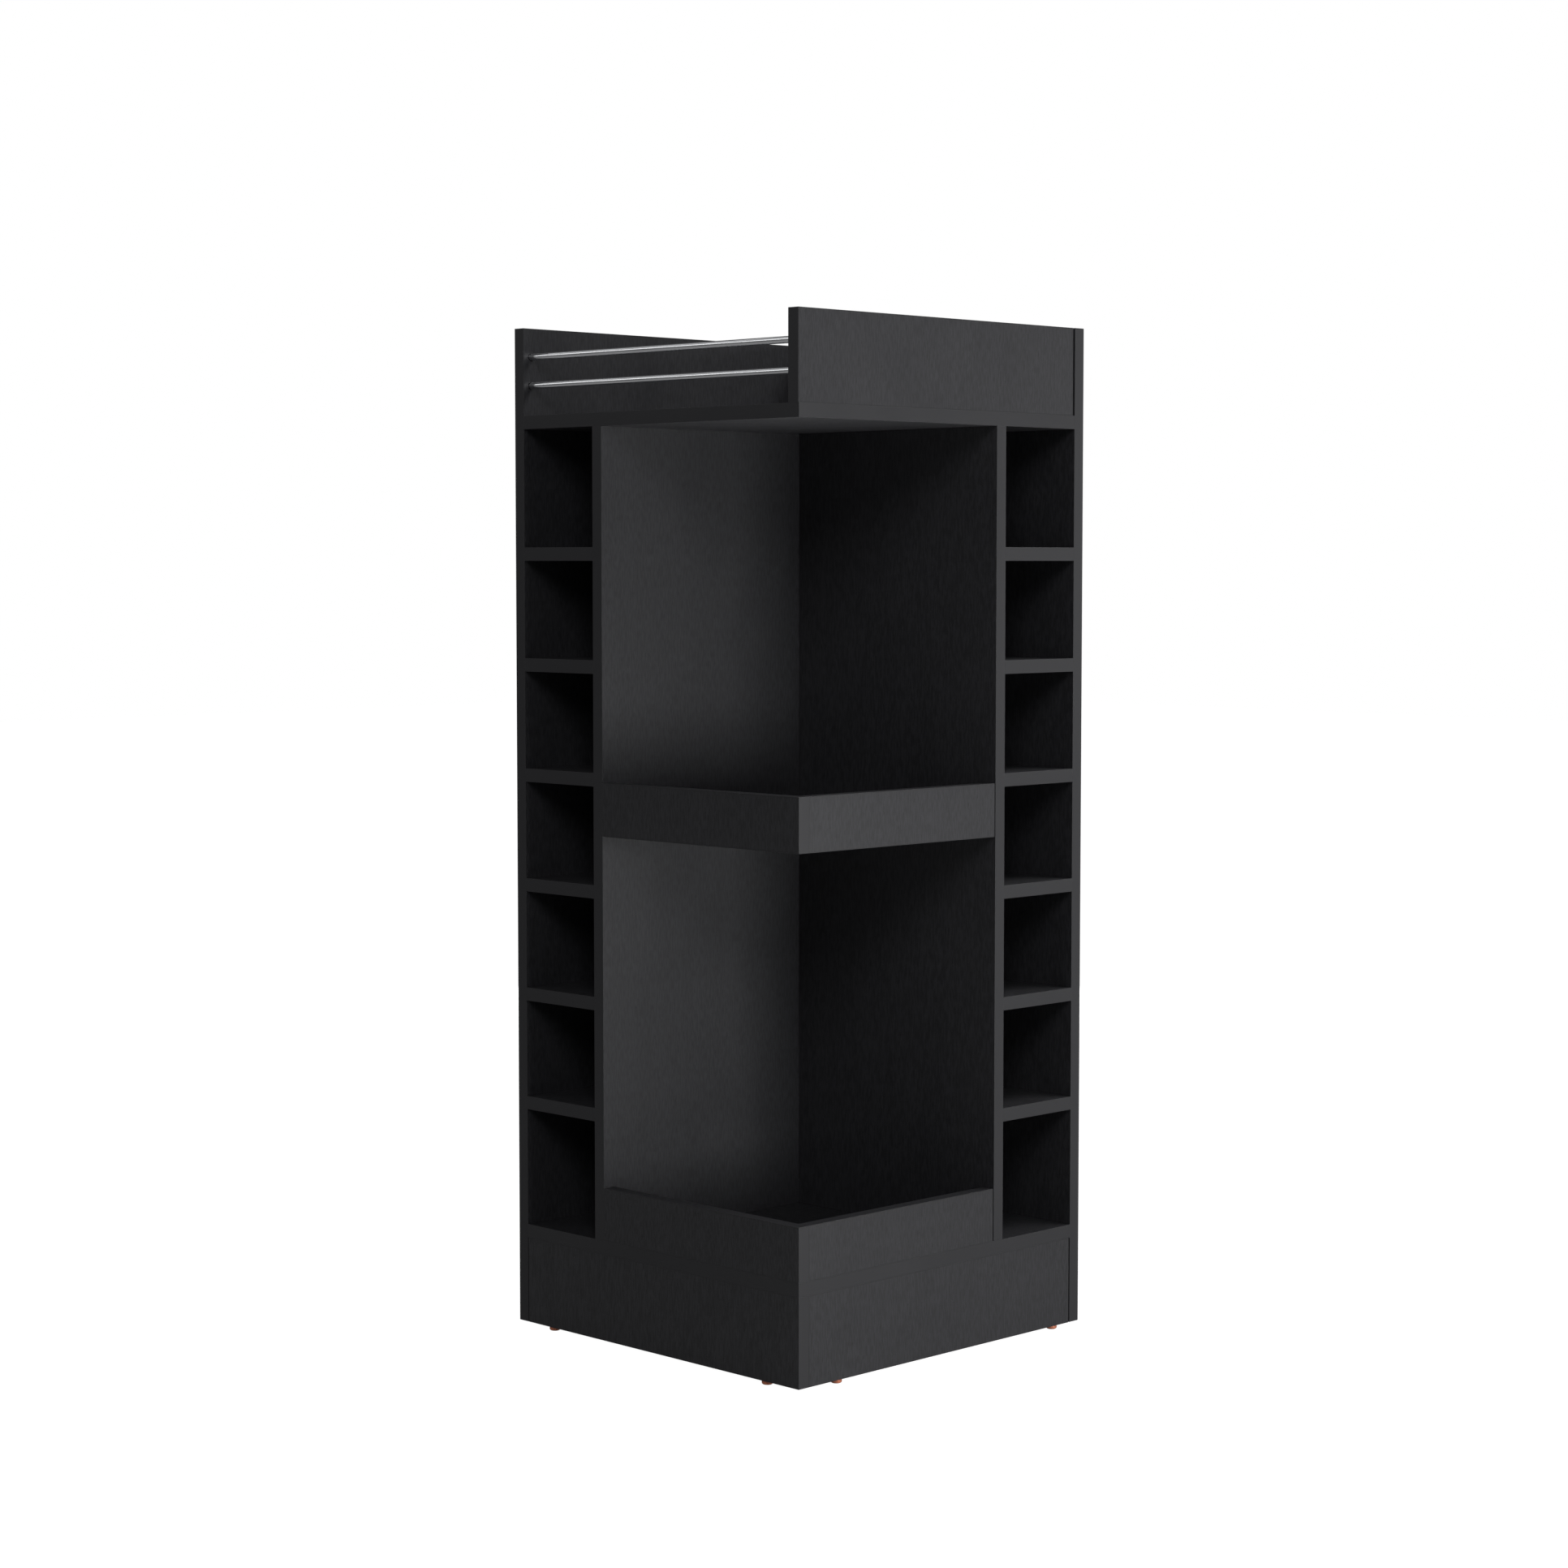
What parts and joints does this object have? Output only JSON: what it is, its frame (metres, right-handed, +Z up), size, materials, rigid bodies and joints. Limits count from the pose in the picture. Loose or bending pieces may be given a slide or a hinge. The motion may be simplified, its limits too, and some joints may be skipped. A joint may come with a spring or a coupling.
{
  "type": "corner display tower",
  "caption": "Square-plan black board tower, open on two sides, with cubby columns, a two-level corner recess and a railed tray on top.",
  "frame": {"origin": "on the floor under the middle of the square plan", "axes": "+Z up, -Y out of the railed front side, +X out of the other open side; the two closed sides face -X and +Y"},
  "size_m": [0.481, 0.481, 1.205],
  "materials": {
    "laminate": "black wood-grain melamine with plain black edge banding, satin",
    "chrome": "polished chrome plate",
    "glide": "copper-brown plated steel, satin",
    "screw": "bright zinc plate",
    "dowel": "raw beech"
  },
  "bodies": {
    "root": {"back_side_panel": "laminate", "bottom_board": "laminate", "dowel_front_divider_far": "dowel", "dowel_front_divider_near": "dowel", "dowel_right_divider_far": "dowel", "dowel_right_divider_near": "dowel", "front_divider": "laminate", "front_shelf_1": "laminate", "front_shelf_2": "laminate", "front_shelf_3": "laminate", "front_shelf_4": "laminate", "front_shelf_5": "laminate", "front_shelf_6": "laminate", "glide_back_right": "glide", "glide_front_left": "glide", "glide_front_near": "glide", "glide_left_back": "glide", "glide_left_front": "glide", "glide_right_far": "glide", "glide_right_near": "glide", "left_side_panel": "laminate", "lower_lip_front": "laminate", "lower_lip_right": "laminate", "middle_lip_front": "laminate", "middle_lip_right": "laminate", "middle_shelf": "laminate", "plinth_front": "laminate", "plinth_right": "laminate", "rail_lower": "chrome", "rail_upper": "chrome", "right_divider": "laminate", "right_shelf_1": "laminate", "right_shelf_2": "laminate", "right_shelf_3": "laminate", "right_shelf_4": "laminate", "right_shelf_5": "laminate", "right_shelf_6": "laminate", "screw_back_base_far": "screw", "screw_back_base_near": "screw", "screw_back_top_far": "screw", "screw_back_top_near": "screw", "screw_corner_high": "screw", "screw_corner_low": "screw", "screw_corner_middle": "screw", "screw_front_divider_far": "screw", "screw_front_divider_near": "screw", "screw_inner_corner_high": "screw", "screw_inner_corner_low": "screw", "screw_left_base_far": "screw", "screw_left_base_near": "screw", "screw_left_top_far": "screw", "screw_left_top_near": "screw", "screw_right_divider_far": "screw", "screw_right_divider_near": "screw", "screw_shelf_front_far": "screw", "screw_shelf_front_near": "screw", "screw_shelf_right_far": "screw", "screw_shelf_right_near": "screw", "top_board": "laminate", "tray_fascia": "laminate"}
  },
  "joints": []
}
